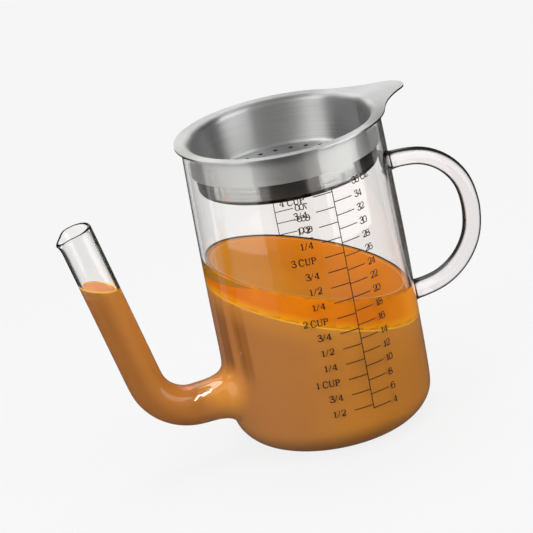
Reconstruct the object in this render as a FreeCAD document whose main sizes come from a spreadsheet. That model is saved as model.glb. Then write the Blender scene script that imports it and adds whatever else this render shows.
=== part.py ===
import FreeCAD, Part
import math
import os

import Sketcher

os.makedirs("parts", exist_ok=True)
doc = FreeCAD.newDocument("GravyFatSeparator")
V = FreeCAD.Vector
UP = V(0, 0, 1)
SIDE = V(0, 1, 0)

# ---------------------------------------------------------------- sizes, mm and degrees
SIZES = [
    # blown glass jug, standing on z = 0 about the z axis
    ("jug_radius", 51.0),
    ("jug_wall", 2.0),
    ("jug_height", 157.1),
    ("jug_rim_taper", 1.8),
    ("jug_widest_height", 58.0),
    ("jug_corner", 16.0),
    # spout tube, leaving the jug toward -x
    ("spout_axis_height", 29.9),
    ("spout_radius", 9.1),
    ("spout_elbow_radius", 10.5),
    ("spout_root_radius", 13.6),
    ("spout_wall", 1.8),
    ("spout_flare", 7.5),
    ("spout_run", 16.7),
    ("spout_bend", 25.3),
    ("spout_lean", 12.3),
    ("spout_leg", 86.7),
    ("lip_reach", 2.6),
    ("lip_length", 8.0),
    ("lip_spread", 42.0),
    ("lip_drop", 3.4),
    # handle rod, on the side opposite the spout
    ("handle_span", 39.2),
    ("handle_top_height", 124.8),
    ("handle_low_height", 55.0),
    ("handle_straight", 3.8),
    ("handle_top_rod", 4.5),
    ("handle_low_rod", 5.0),
    ("handle_pad", 1.1),
    ("handle_pad_length", 2.4),
    # strainer basket, drawn from one sheet; it hangs on the jug's rim
    ("seat_gap", 0.15),
    ("basket_sheet", 0.9),
    ("flange_overhang", 3.1),
    ("mouth_roll", 3.5),
    ("basket_taper", 1.1),
    ("basket_depth", 24.3),
    ("basket_corner", 2.8),
    ("tab_reach", 19.2),
    ("tab_tip_radius", 10.2),
    ("tab_sweep", 60.0),
    ("tab_turn", 12.3),
    ("hole_radius", 1.25),
    ("hole_margin", 6.9),
    ("hole_turn", 8.8),
    ("hole_rings", 4),
    ("hole_count", 30),
    # locating collar, spot-welded round the basket under the flange
    ("collar_clearance", 0.6),
    ("collar_sheet", 0.85),
    ("weld_gap", 0.05),
    ("collar_drop", 14.75),
    # printed enamel
    ("ink", 0.12),
    ("tick_width", 0.42),
    ("tick_length", 9.8),
    ("front_line_turn", 6.5),
    ("back_line_turn", 177.1),
    ("line_tail", 0.2),
    ("cup_top", 134.76),
    ("cup_step", 7.61),
    ("cup_growth", 0.0227),
    ("cup_ticks", 15),
    ("ounce_top", 136.32),
    ("ounce_step", 6.80),
    ("ounce_growth", 0.0221),
    ("ounce_ticks", 17),
    ("millilitre_step", 6.09),
    ("millilitre_growth", 0.0145),
    ("millilitre_ticks", 19),
]

sheet = doc.addObject("Spreadsheet::Sheet", "Sizes")
for row, (alias, value) in enumerate(SIZES, start=1):
    sheet.set("A%d" % row, alias)
    sheet.set("B%d" % row, str(value))
    sheet.setAlias("B%d" % row, alias)
doc.recompute()


def size(expression):
    """The value of an expression of the sheet's cells."""
    return float(sheet.evalExpression(expression))


# ---------------------------------------------------------------- helpers
def origin_part(body, role):
    for feature in body.Origin.OriginFeatures:
        if feature.Role == role:
            return feature
    raise ValueError("no origin feature " + role)


def new_body(name, label):
    body = doc.addObject("PartDesign::Body", name)
    body.Label = label
    return body


def new_sketch(body, name, role, height=None):
    sketch = body.newObject("Sketcher::SketchObject", name)
    sketch.AttachmentSupport = [(origin_part(body, role), "")]
    sketch.MapMode = "FlatFace"
    if height is not None:
        sketch.AttachmentOffset = FreeCAD.Placement(V(0, 0, size(height)), FreeCAD.Rotation())
        sketch.setExpression("AttachmentOffset.Base.z", height)
    return sketch


def pin(sketch, element, end, across, up):
    """Fix a point of a sketch at two expressions."""
    for kind, text in (("DistanceX", across), ("DistanceY", up)):
        if text == "0":
            axis = -2 if kind == "DistanceX" else -1
            sketch.addConstraint(Sketcher.Constraint("PointOnObject", element, end, axis))
        else:
            rule = Sketcher.Constraint(kind, -1, 1, element, end, size(text))
            number = sketch.addConstraint(rule)
            sketch.setExpression("Constraints[%d]" % number, text)


def outline(sketch, corners):
    """Draw a closed outline. A corner is (across, up) or (across, up, radius, turn).
    The last two make the run to the next corner an arc, turning left (1) or right (-1)."""
    points = [V(size(c[0]), size(c[1]), 0) for c in corners]
    ends = []
    for i, corner in enumerate(corners):
        here = points[i]
        there = points[(i + 1) % len(points)]
        if len(corner) == 2:
            element = sketch.addGeometry(Part.LineSegment(here, there), False)
            ends.append((element, 1, 2))
            continue
        radius = size(corner[2])
        chord = there - here
        rise = math.sqrt(max(radius ** 2 - (chord.Length / 2) ** 2, 0.0))
        left = V(-chord.y, chord.x, 0).normalize()
        centre = (here + there) * 0.5 + left * (corner[3] * rise)
        start, stop = (here, there) if corner[3] > 0 else (there, here)
        first = math.atan2(start.y - centre.y, start.x - centre.x)
        last = math.atan2(stop.y - centre.y, stop.x - centre.x)
        if last < first:
            last += 2 * math.pi
        arc = Part.ArcOfCircle(Part.Circle(centre, UP, radius), first, last)
        element = sketch.addGeometry(arc, False)
        ends.append((element, 1, 2) if corner[3] > 0 else (element, 2, 1))
    for i, corner in enumerate(corners):
        element, begin, _ = ends[i]
        before, _, finish = ends[i - 1]
        sketch.addConstraint(Sketcher.Constraint("Coincident", before, finish, element, begin))
        pin(sketch, element, begin, corner[0], corner[1])
    for i, corner in enumerate(corners):
        if len(corner) == 4:
            rule = Sketcher.Constraint("Radius", ends[i][0], size(corner[2]))
            number = sketch.addConstraint(rule)
            sketch.setExpression("Constraints[%d]" % number, corner[2])


def turned(body, name, corners):
    """A full turn of an outline about the z axis."""
    sketch = new_sketch(body, name + "Profile", "XZ_Plane")
    outline(sketch, corners)
    turn = body.newObject("PartDesign::Revolution", name)
    turn.Profile = sketch
    turn.ReferenceAxis = (sketch, ["V_Axis"])
    turn.Angle = 360.0
    doc.recompute()
    return turn


def kept(name, label, shape):
    """A shape worked out from the sheet, as an object of the document."""
    feature = doc.addObject("Part::Feature", name)
    feature.Label = label
    feature.Shape = shape
    feature.Placement = FreeCAD.Placement()
    return feature


def cut(name, label, base, tool):
    result = doc.addObject("Part::Cut", name)
    result.Base = base
    result.Tool = tool
    result.Label = label
    doc.recompute()
    return result


# ---------------------------------------------------------------- jug body
# The wall swells slightly: one large arc, widest at jug_widest_height.
SWELL = ("(((Sizes.jug_height - Sizes.jug_widest_height)^2 + Sizes.jug_rim_taper^2)"
         " / (2 * Sizes.jug_rim_taper))")
RIM = "(Sizes.jug_radius - Sizes.jug_rim_taper)"
LOW = ("(Sizes.jug_radius - " + SWELL + " + sqrt(" + SWELL
       + "^2 - (Sizes.jug_widest_height - Sizes.jug_corner)^2))")
RIM_BEAD = "Sizes.jug_wall / 2"

bottom_corners = [
    ("0", "0"),
    (LOW + " - Sizes.jug_corner", "0", "Sizes.jug_corner", 1),
    (LOW, "Sizes.jug_corner", SWELL, 1),
]
blank = new_body("JugOutside", "jug_outside")
turned(blank, "JugOutsideTurn", bottom_corners + [
    (RIM, "Sizes.jug_height"),
    ("0", "Sizes.jug_height"),
])

blown = new_body("JugBlown", "jug_blown")
turned(blown, "JugBlownTurn", bottom_corners + [
    (RIM, "Sizes.jug_height - " + RIM_BEAD, RIM_BEAD, 1),
    (RIM + " - " + RIM_BEAD, "Sizes.jug_height", RIM_BEAD, 1),
    (RIM + " - Sizes.jug_wall", "Sizes.jug_height - " + RIM_BEAD,
     SWELL + " - Sizes.jug_wall", -1),
    (LOW + " - Sizes.jug_wall", "Sizes.jug_corner", "Sizes.jug_corner - Sizes.jug_wall", -1),
    (LOW + " - Sizes.jug_corner", "Sizes.jug_wall"),
    ("0", "Sizes.jug_wall"),
])


# ---------------------------------------------------------------- spout tube and handle rod
RING_POINTS = 32
# a closed cubic curve runs inside its poles by this share of their radius
POLE_SHARE = 3 / (2 + math.cos(2 * math.pi / RING_POINTS))


def ring(centre, across, radius, pull=0.0, spread=1.0):
    """Poles of a closed curve round a centre, with a point pulled out toward across."""
    poles = []
    for i in range(RING_POINTS):
        angle = 2 * math.pi * i / RING_POINTS
        off = min(angle, 2 * math.pi - angle)
        swell = 0.0
        if off < spread:
            swell = pull * (0.5 + 0.5 * math.cos(math.pi * off / spread))
        reach = (radius + swell) * POLE_SHARE
        poles.append(centre + across * (reach * math.cos(angle)) + SIDE * (reach * math.sin(angle)))
    return poles


def tube_solid(rings):
    """A closed solid whose skin follows rings of poles, with a flat face at each end."""
    spans = len(rings) - 3
    surface = Part.BSplineSurface()
    surface.buildFromPolesMultsKnots(
        rings, [4] + [1] * (spans - 1) + [4], [1] * (RING_POINTS + 1),
        list(range(spans + 1)), list(range(RING_POINTS + 1)), False, True, 3, 3)
    side = surface.toShape()
    ends = [Part.Face(Part.Wire([edge])) for edge in side.Edges if edge.isClosed()]
    shell = Part.Shell([side] + ends)
    shell.sewShape()
    solid = Part.Solid(shell)
    if solid.Volume < 0:
        solid.reverse()
    return solid


def clear_of_wall():
    """How far a fused end starts inside the wall, so that the wall can trim it."""
    return 3 * size("Sizes.jug_wall")


def spout_stations():
    """Centre, outward direction, outer radius and share of the lip's pull along the spout."""
    root = size("Sizes.spout_root_radius")
    elbow = size("Sizes.spout_elbow_radius")
    tube = size("Sizes.spout_radius")
    wall_at = size("Sizes.jug_radius")
    run = size("Sizes.spout_run")
    flare = size("Sizes.spout_flare")
    bend = size("Sizes.spout_bend")
    height = size("Sizes.spout_axis_height")
    lean = math.radians(size("Sizes.spout_lean"))
    leg = size("Sizes.spout_leg")
    lip = size("Sizes.lip_length")
    stations = []
    # root, flared where it is fused to the wall
    sunk = clear_of_wall()
    inside = [-sunk, -0.7 * sunk, -0.35 * sunk]
    for off_wall in inside + [0.0, flare / 4, flare / 2, flare, (flare + run) / 2]:
        swell = (1 - min(max(off_wall / flare, 0.0), 1.0)) ** 2
        centre = V(-wall_at - off_wall, 0, height)
        stations.append((centre, UP * -1, elbow + (root - elbow) * swell, 0.0))
    # elbow, narrowing from the blown root to the plain tube
    steps = 8
    for i in range(steps + 1):
        angle = (math.pi / 2 - lean) * i / steps
        out = V(-math.sin(angle), 0, -math.cos(angle))
        centre = V(-wall_at - run, 0, height + bend) + out * bend
        stations.append((centre, out, elbow + (tube - elbow) * i / steps, 0.0))
    # straight leg, then the pulled lip
    foot, out = stations[-1][:2]
    along = V(-math.sin(lean), 0, math.cos(lean))
    for share in (0.06, 0.25, 0.5, 0.75, 0.94, 1.0):
        stations.append((foot + along * ((leg - lip) * share), out, tube, 0.0))
    for share in (0.25, 0.5, 0.75, 1.0):
        stations.append((foot + along * (leg - lip + lip * share), out, tube, share ** 1.5))
    return stations


def spout_skin(inset):
    """The spout's outside, or its bore when the inset is its wall."""
    pull = size("Sizes.lip_reach")
    spread = math.radians(size("Sizes.lip_spread"))
    rings = []
    for centre, out, radius, share in spout_stations():
        rings.append(ring(centre, out, radius - inset, pull * share, spread))
    return tube_solid(rings)


def lip_cutter():
    """A slanted block that lowers the mouth's edge toward the lip's point."""
    lean = math.radians(size("Sizes.spout_lean"))
    tube = size("Sizes.spout_radius")
    centre, out = spout_stations()[-1][:2]
    along = V(-math.sin(lean), 0, math.cos(lean))
    hinge_off = tube / 2
    run = tube + size("Sizes.lip_reach") - hinge_off
    slope = math.atan2(size("Sizes.lip_drop"), run)
    outward = out * math.cos(slope) - along * math.sin(slope)
    upward = out * math.sin(slope) + along * math.cos(slope)
    span = 2 * tube
    near = centre + out * hinge_off - SIDE * span
    corners = [near, near + outward * span, near + outward * span + upward * span, near + upward * span]
    face = Part.Face(Part.makePolygon(corners + corners[:1]))
    return face.extrude(SIDE * (2 * span))


def wall_radius(height):
    """The jug's outer radius at a height on its swelling wall."""
    swell = size(SWELL)
    off_widest = height - size("Sizes.jug_widest_height")
    return size("Sizes.jug_radius") - swell + math.sqrt(swell ** 2 - off_widest ** 2)


def handle_bar():
    """A bent rod, a little thicker toward its lower end, from wall to wall."""
    top = size("Sizes.handle_top_height")
    low = size("Sizes.handle_low_height")
    bend = (top - low - size("Sizes.handle_straight")) / 2
    inside = size("Sizes.jug_radius") - clear_of_wall()
    turn_at = size("Sizes.jug_radius + Sizes.handle_span") - bend
    outside = turn_at + bend
    diagonal = bend * math.sqrt(0.5)
    path = Part.Wire([
        Part.makeLine(V(inside, 0, top), V(turn_at, 0, top)),
        Part.Arc(V(turn_at, 0, top), V(turn_at + diagonal, 0, top - bend + diagonal),
                 V(outside, 0, top - bend)).toShape(),
        Part.makeLine(V(outside, 0, top - bend), V(outside, 0, low + bend)),
        Part.Arc(V(outside, 0, low + bend), V(turn_at + diagonal, 0, low + bend - diagonal),
                 V(turn_at, 0, low)).toShape(),
        Part.makeLine(V(turn_at, 0, low), V(inside, 0, low)),
    ])
    pipe = Part.BRepOffsetAPI.MakePipeShell(path)
    for height, radius in ((top, size("Sizes.handle_top_rod")), (low, size("Sizes.handle_low_rod"))):
        pipe.add(Part.Wire([Part.Circle(V(inside, 0, height), V(1, 0, 0), radius).toShape()]))
    pipe.build()
    pipe.makeSolid()
    return pipe.shape()


def handle_pad(height, rod):
    """A fused pad: a disc on the wall that curves down to the rod."""
    pad = size("Sizes.handle_pad")
    length = size("Sizes.handle_pad_length")
    wall_at = wall_radius(height)
    inside = size("Sizes.jug_radius") - clear_of_wall()
    rise = rod + pad
    curve = Part.Arc(V(wall_at, 0, height + rise), V(wall_at + length * 0.3, 0, height + rod + pad * 0.3),
                     V(wall_at + length, 0, height + rod)).toShape()
    face = Part.Face(Part.Wire([
        Part.makeLine(V(inside, 0, height), V(inside, 0, height + rise)),
        Part.makeLine(V(inside, 0, height + rise), V(wall_at, 0, height + rise)),
        curve,
        Part.makeLine(V(wall_at + length, 0, height + rod), V(wall_at + length, 0, height)),
        Part.makeLine(V(wall_at + length, 0, height), V(inside, 0, height)),
    ]))
    return face.revolve(V(0, 0, height), V(1, 0, 0), 360)


def fitted(name, label, shape):
    """A shape trimmed by the jug's outside, so that it starts at the wall."""
    return cut(name + "Fitted", label + "_fitted", kept(name + "Blank", label + "_blank", shape), blank)


bore = kept("SpoutBore", "spout_bore", spout_skin(size("Sizes.spout_wall")))
jug_body = cut("JugBody", "jug_body", blown, bore)

lip_block = kept("LipBlock", "lip_block", lip_cutter())
spout_fitted = fitted("Spout", "spout", spout_skin(0.0))
spout_bored = cut("SpoutBored", "spout_bored", spout_fitted, bore)
spout_tube = cut("SpoutTube", "spout_tube", spout_bored, lip_block)

top_pad = handle_pad(size("Sizes.handle_top_height"), size("Sizes.handle_top_rod"))
low_pad = handle_pad(size("Sizes.handle_low_height"), size("Sizes.handle_low_rod"))
handle_rod = doc.addObject("Part::MultiFuse", "HandleRod")
handle_rod.Shapes = [
    fitted("HandleBar", "handle_bar", handle_bar()),
    fitted("TopPad", "top_pad", top_pad),
    fitted("LowPad", "low_pad", low_pad),
]
handle_rod.Label = "handle_rod"
doc.recompute()

# ---------------------------------------------------------------- strainer basket
TOP = "(Sizes.jug_height + Sizes.seat_gap + Sizes.basket_sheet)"
UNDER = "(Sizes.jug_height + Sizes.seat_gap)"
FLOOR = "(" + TOP + " - Sizes.basket_depth)"
COLLAR_OUT = "(" + RIM + " - Sizes.jug_wall - Sizes.collar_clearance)"
COLLAR_IN = "(" + COLLAR_OUT + " - Sizes.collar_sheet)"
NECK_OUT = "(" + COLLAR_IN + " - Sizes.weld_gap)"
NECK = "(" + NECK_OUT + " - Sizes.basket_sheet)"
MOUTH = "(" + NECK + " + Sizes.mouth_roll)"
FLANGE = "(" + RIM + " + Sizes.flange_overhang)"
FOOT_OUT = "(" + NECK_OUT + " - Sizes.basket_taper)"
FOOT = "(" + FOOT_OUT + " - Sizes.basket_sheet)"
INNER_CORNER = "(Sizes.basket_corner - Sizes.basket_sheet)"

basket = new_body("StrainerBasket", "strainer_basket")
turned(basket, "BasketDraw", [
    (FLANGE, TOP),
    (MOUTH, TOP, "Sizes.mouth_roll", 1),
    (NECK, TOP + " - Sizes.mouth_roll"),
    (FOOT, FLOOR + " + " + INNER_CORNER, INNER_CORNER, -1),
    (FOOT + " - " + INNER_CORNER, FLOOR),
    ("0", FLOOR),
    ("0", FLOOR + " - Sizes.basket_sheet"),
    (FOOT + " - " + INNER_CORNER, FLOOR + " - Sizes.basket_sheet", "Sizes.basket_corner", 1),
    (FOOT_OUT, FLOOR + " + " + INNER_CORNER),
    (NECK_OUT, TOP + " - Sizes.mouth_roll", "Sizes.mouth_roll - Sizes.basket_sheet", -1),
    (MOUTH, UNDER),
    (FLANGE, UNDER),
])

# thumb tab: a round tip joined to the flange by two hollow sweeps
TIP = "(" + FLANGE + " + Sizes.tab_reach - Sizes.tab_tip_radius)"
TO_SWEEP = "(" + FLANGE + " + Sizes.tab_sweep)"
TIP_TO_SWEEP = "(Sizes.tab_tip_radius + Sizes.tab_sweep)"
SWEEP_X = "((" + TO_SWEEP + "^2 - " + TIP_TO_SWEEP + "^2 + " + TIP + "^2) / (2 * " + TIP + "))"
SWEEP_Y = "sqrt(" + TO_SWEEP + "^2 - " + SWEEP_X + "^2)"
INLAND = "((" + FLANGE + " + " + MOUTH + ") / 2)"


def toward_sweep(radius, sign):
    """A point at a radius on the line from the axis to a sweep's centre."""
    share = " * " + radius + " / " + TO_SWEEP
    return SWEEP_X + share, sign + SWEEP_Y + share


def tip_end(sign):
    """Where a sweep runs into the tip's arc."""
    share = " * Sizes.tab_tip_radius / " + TIP_TO_SWEEP
    return TIP + " + (" + SWEEP_X + " - " + TIP + ")" + share, sign + SWEEP_Y + share


tab_sketch = new_sketch(basket, "TabOutline", "XY_Plane", UNDER)
outline(tab_sketch, [
    toward_sweep(INLAND, "-"),
    toward_sweep(FLANGE, "-") + ("Sizes.tab_sweep", -1),
    tip_end("-") + ("Sizes.tab_tip_radius", 1),
    tip_end("") + ("Sizes.tab_sweep", -1),
    toward_sweep(FLANGE, ""),
    toward_sweep(INLAND, "") + (INLAND, -1),
])
tab = basket.newObject("PartDesign::Pad", "ThumbTab")
tab.Profile = tab_sketch
tab.Length = size("Sizes.basket_sheet")
tab.setExpression("Length", "Sizes.basket_sheet")
doc.recompute()

# drain holes: rings of holes and one in the middle
HOLE_RING = "(" + FOOT_OUT + " - Sizes.hole_margin)"
tip_feature = tab
ring_total = int(size("Sizes.hole_rings"))
for number in range(ring_total + 1):
    share = " * %d / Sizes.hole_rings" % number
    hole_sketch = new_sketch(basket, "HoleAt%d" % number, "XY_Plane", FLOOR)
    hole = hole_sketch.addGeometry(Part.Circle(V(0, 0, 0), UP, size("Sizes.hole_radius")), False)
    if number == 0:
        hole_sketch.addConstraint(Sketcher.Constraint("Coincident", hole, 3, -1, 1))
    else:
        pin(hole_sketch, hole, 3, HOLE_RING + " * cos(Sizes.hole_turn)" + share,
            HOLE_RING + " * sin(Sizes.hole_turn)" + share)
    rule = hole_sketch.addConstraint(Sketcher.Constraint("Radius", hole, size("Sizes.hole_radius")))
    hole_sketch.setExpression("Constraints[%d]" % rule, "Sizes.hole_radius")
    pocket = basket.newObject("PartDesign::Pocket", "Hole%d" % number)
    pocket.Profile = hole_sketch
    pocket.Length = 2 * size("Sizes.basket_sheet")
    pocket.setExpression("Length", "2 * Sizes.basket_sheet")
    doc.recompute()
    solid_before = tip_feature.Shape.Volume
    if pocket.Shape.Volume > solid_before - size("Sizes.hole_radius") ** 2:
        raise ValueError("hole %d cuts nothing" % number)
    tip_feature = pocket
    if number > 0:
        pattern = basket.newObject("PartDesign::PolarPattern", "HoleRing%d" % number)
        pattern.Originals = [pocket]
        pattern.Axis = (origin_part(basket, "Z_Axis"), [""])
        pattern.Angle = 360.0
        pattern.Occurrences = max(2, round(size("Sizes.hole_count") * number / ring_total))
        basket.Tip = pattern
        doc.recompute()
        tip_feature = pattern
basket.Placement = FreeCAD.Placement(V(0, 0, 0), FreeCAD.Rotation(UP, size("Sizes.tab_turn")))
basket.setExpression("Placement.Rotation.Angle", "Sizes.tab_turn * 1 deg")

# ---------------------------------------------------------------- locating collar
def under_roll(radius):
    """Height of the rolled edge's underside at a radius, less the weld gap."""
    return (TOP + " - Sizes.mouth_roll - Sizes.weld_gap + sqrt((Sizes.mouth_roll - Sizes.basket_sheet)^2"
            + " - (" + MOUTH + " - " + radius + ")^2)")


collar = new_body("LocatingCollar", "locating_collar")
turned(collar, "CollarTurn", [
    (COLLAR_IN, TOP + " - Sizes.collar_drop"),
    (COLLAR_OUT, TOP + " - Sizes.collar_drop"),
    (COLLAR_OUT, under_roll(COLLAR_OUT)),
    (COLLAR_IN, under_roll(COLLAR_IN)),
])


# ---------------------------------------------------------------- printed scales
def ink_skin():
    """A skin of ink all round the swelling wall, from which the marks are taken."""
    low = size(LOW)
    corner = size("Sizes.jug_corner")
    widest = size("Sizes.jug_radius")
    middle = size("Sizes.jug_widest_height")
    rim = size(RIM)
    height = size("Sizes.jug_height")
    ink = size("Sizes.ink")
    near = Part.Arc(V(low, 0, corner), V(widest, 0, middle), V(rim, 0, height)).toShape()
    far = Part.Arc(V(rim + ink, 0, height), V(widest + ink, 0, middle), V(low + ink, 0, corner)).toShape()
    top = Part.makeLine(V(rim, 0, height), V(rim + ink, 0, height))
    foot = Part.makeLine(V(low + ink, 0, corner), V(low, 0, corner))
    return Part.Face(Part.Wire([near, top, far, foot])).revolve(V(0, 0, 0), UP, 360)


def bar(left, right, low, high):
    """A block through the front wall, given by its sides as seen from the front."""
    radius = size("Sizes.jug_radius")
    return Part.makeBox(right - left, radius, high - low, V(left, -1.5 * radius, low))


def marks(bars, turn):
    """The part of the ink skin inside the bars, with the front turned to an angle."""
    joined = bars[0] if len(bars) == 1 else bars[0].multiFuse(bars[1:]).removeSplitter()
    joined.rotate(V(0, 0, 0), UP, turn)
    printed = skin.common(joined)
    return Part.makeCompound(printed.Solids) if len(printed.Solids) > 1 else printed.Solids[0]


def tick_heights(top, step, growth, count):
    return [top - step * i - growth * i * i for i in range(int(count))]


skin = ink_skin()
half = size("Sizes.tick_width / 2")
length = size("Sizes.tick_length")
tail = size("Sizes.line_tail")
front = size("Sizes.front_line_turn")
back = size("Sizes.back_line_turn")
cups = tick_heights(size("Sizes.cup_top"), size("Sizes.cup_step"), size("Sizes.cup_growth"),
                    size("Sizes.cup_ticks"))
ounces = tick_heights(size("Sizes.ounce_top"), size("Sizes.ounce_step"), size("Sizes.ounce_growth"),
                      size("Sizes.ounce_ticks"))
millilitres = tick_heights(size("Sizes.cup_top"), size("Sizes.millilitre_step"),
                           size("Sizes.millilitre_growth"), size("Sizes.millilitre_ticks"))

front_line = bar(-half, half, min(cups + ounces) - half - tail, max(cups + ounces) + half + tail)
cup_bars = [bar(-length, 0, at - half, at + half) for at in cups]
cup_scale = kept("CupScale", "cup_scale", marks([front_line] + cup_bars, front))

ounce_bars = [bar(half, length, at - half, at + half) for at in ounces]
ounce_scale = kept("OunceScale", "ounce_scale", marks(ounce_bars, front))

back_line = bar(-half, half, min(millilitres) - half - tail, max(millilitres) + half + tail)
back_bars = [bar(-length, 0, at - half, at + half) for at in millilitres]
millilitre_scale = kept("MillilitreScale", "millilitre_scale", marks([back_line] + back_bars, back))

# ---------------------------------------------------------------- checks and files
doc.recompute()
for item in doc.Objects:
    if "Invalid" in item.State or "Error" in item.State:
        raise ValueError("%s is %s" % (item.Name, item.State))

nodes = [jug_body, spout_tube, handle_rod, basket, collar, cup_scale, ounce_scale, millilitre_scale]
for node in nodes:
    if node.Shape.isNull() or not node.Shape.isValid() or not node.Shape.Solids:
        raise ValueError(node.Label + " is not a valid solid")
for node in nodes:
    node.Shape.exportStep("parts/" + node.Label + ".step")
    box = node.Shape.BoundBox
    print("%-18s %2d solids %10.1f mm3  x %.1f..%.1f y %.1f..%.1f z %.1f..%.1f" % (
        node.Label, len(node.Shape.Solids), node.Shape.Volume,
        box.XMin, box.XMax, box.YMin, box.YMax, box.ZMin, box.ZMax))
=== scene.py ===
import math

import bmesh
import bpy
from mathutils import Matrix, Vector


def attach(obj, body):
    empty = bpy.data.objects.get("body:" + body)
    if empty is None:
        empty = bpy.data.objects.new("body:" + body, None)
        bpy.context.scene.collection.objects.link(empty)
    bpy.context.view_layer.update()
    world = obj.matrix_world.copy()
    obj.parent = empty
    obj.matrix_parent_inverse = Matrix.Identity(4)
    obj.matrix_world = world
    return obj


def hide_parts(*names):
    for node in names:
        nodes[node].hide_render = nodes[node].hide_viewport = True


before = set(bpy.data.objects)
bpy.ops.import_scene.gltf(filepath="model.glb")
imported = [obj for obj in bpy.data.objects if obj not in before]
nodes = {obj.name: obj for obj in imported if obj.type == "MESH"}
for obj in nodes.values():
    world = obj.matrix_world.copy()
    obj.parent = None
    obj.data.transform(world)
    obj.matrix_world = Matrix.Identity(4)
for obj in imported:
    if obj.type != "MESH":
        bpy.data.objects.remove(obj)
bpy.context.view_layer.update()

MM = 0.001
UP = Vector((0, 0, 1))
SIDE = Vector((0, 1, 0))

# ---------------------------------------------------------------- sizes, mm
# the blown jug, whose wall swells in one long arc and ends in a round corner
JUG_RADIUS = 51.0
JUG_WALL = 2.0
JUG_HEIGHT = 157.1
RIM_TAPER = 1.8
RIM_ROUND = 0.55
RIM_LIFT = 0.15
WIDEST = 58.0
CORNER = 16.0
SWELL = ((JUG_HEIGHT - WIDEST) ** 2 + RIM_TAPER ** 2) / (2 * RIM_TAPER)

# its mesh: columns and rings of points, and the patches of wall that open for spout and handle,
# each as (half its turn, from, to), with the share of an inset by which such a hole narrows
COLUMNS = 36
BASE_RINGS = (0, 14, 27)
CORNER_STEPS = 4
WALL_RINGS = (14.4, 22, 29.9, 37.8, 45.6, 55, 64, 76, 90, 104, 115.8, 124.8, 133.8, 144, 152, 155.8)
SPOUT_PATCH = (math.radians(20), 14.4, 45.6)
TOP_PATCH = (math.radians(10), 115.8, 133.8)
LOW_PATCH = (math.radians(10), 45.6, 64)
HOLE_NARROWS = 0.6

# the spout: fillet rings as (off the wall, radius), an elbow, and rings up the straight leg
SPOUT_HEIGHT = 29.9
SPOUT_RUN = 16.7
SPOUT_BEND = 25.3
SPOUT_LEAN = math.radians(12.3)
SPOUT_LEG = 86.7
SPOUT_RADIUS = 9.1
ELBOW_RADIUS = 10.5
SPOUT_WALL = 1.8
SPOUT_HOLE = 16.3
ROOT_FILLET = ((0.7, 14.1), (2.4, 12.6), (5.2, 11.4), (9.0, 10.7), (13.5, ELBOW_RADIUS))
ELBOW_STEPS = 8
LEG_RINGS = (10, 28, 48, 64, 76, 81, 84, SPOUT_LEG - 0.9)

# the pour lip: how far down the leg it starts, how wide it is pulled, how far out and how far
# down. The drop starts off the tube's axis, is whole after a run, and ends a little past whole.
LIP_LENGTH = 8.0
LIP_SPREAD = math.radians(46)
LIP_REACH = 1.55
LIP_DROP = 3.0
DROP_START = 3.5
DROP_RUN = 5.6
DROP_END = 1.15

# the handle: pads as (off the wall, radius), and a rod that thickens a little at each ring
HANDLE_TOP = 124.8
HANDLE_LOW = 55.0
HANDLE_REACH = 90.2
HANDLE_BEND = 33.0
TOP_HOLE = 7.4
LOW_HOLE = 8.0
TOP_PAD = ((0.5, 6.0), (1.6, 5.0), (3.6, 4.55))
LOW_PAD = ((3.6, 5.05), (1.6, 5.5), (0.5, 6.5))
BEND_STEPS = 5
ROD_RADIUS = 4.5
ROD_GROWTH = 0.05

# limits that tell the spout's leg, its mouth and what is clear of the wall from the rest
LEG_LEFT_OF = -72
LEG_ABOVE = 60
MOUTH_LEFT_OF = -90
CLEAR_OF_WALL = 0.6

# the strainer's floor and holes
FLOOR_HEIGHT = 133.85
SHEET = 0.9
HOLES_REACH = 40.0

# places of the glasses in the jug's list of materials
WALL_GLASS, TUBE_GLASS, ROD_GLASS, INNER_GLASS = range(4)


def wall_radius(z):
    """Outer radius of the jug's wall at a height, with its round bottom corner."""
    body = JUG_RADIUS - SWELL + math.sqrt(SWELL ** 2 - (max(z, CORNER) - WIDEST) ** 2)
    if z >= CORNER:
        return body
    return body - CORNER + math.sqrt(CORNER ** 2 - (CORNER - max(z, 0)) ** 2)


# ---------------------------------------------------------------- mesh helpers
def smooth_share(sides):
    """How much wider a ring's points stand than the round that subdivision makes of them."""
    return 3 / (2 + math.cos(2 * math.pi / sides))


def subdivided(bm, levels, last=True):
    """The same mesh after a few levels of smooth subdivision. A last one lies on the true round."""
    mesh = bpy.data.meshes.new("rough")
    bm.to_mesh(mesh)
    bm.free()
    for _ in range(INNER_GLASS + 1):
        mesh.materials.append(None)
    rough = bpy.data.objects.new("rough", mesh)
    bpy.context.collection.objects.link(rough)
    modifier = rough.modifiers.new("smooth", "SUBSURF")
    modifier.levels = modifier.render_levels = levels
    modifier.use_limit_surface = last
    bpy.context.view_layer.update()
    fine = bmesh.new()
    fine.from_object(rough, bpy.context.evaluated_depsgraph_get())
    bpy.data.objects.remove(rough)
    bpy.data.meshes.remove(mesh)
    return fine


def piece(name, bm, materials, body, smooth=True):
    """A finished piece from a mesh in millimetres, riding on a body of the frame."""
    bmesh.ops.scale(bm, vec=(MM, MM, MM), verts=bm.verts)
    for face in bm.faces:
        face.smooth = smooth
    mesh = bpy.data.meshes.new(name)
    bm.to_mesh(mesh)
    bm.free()
    obj = bpy.data.objects.new(name, mesh)
    bpy.context.collection.objects.link(obj)
    for material in materials:
        mesh.materials.append(material)
    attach(obj, body)
    return obj


def faced_outward(bm):
    """Point the faces of a closed mesh out of its material."""
    bmesh.ops.recalc_face_normals(bm, faces=bm.faces)
    if bm.calc_volume(signed=True) < 0:
        bmesh.ops.reverse_faces(bm, faces=bm.faces)


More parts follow.
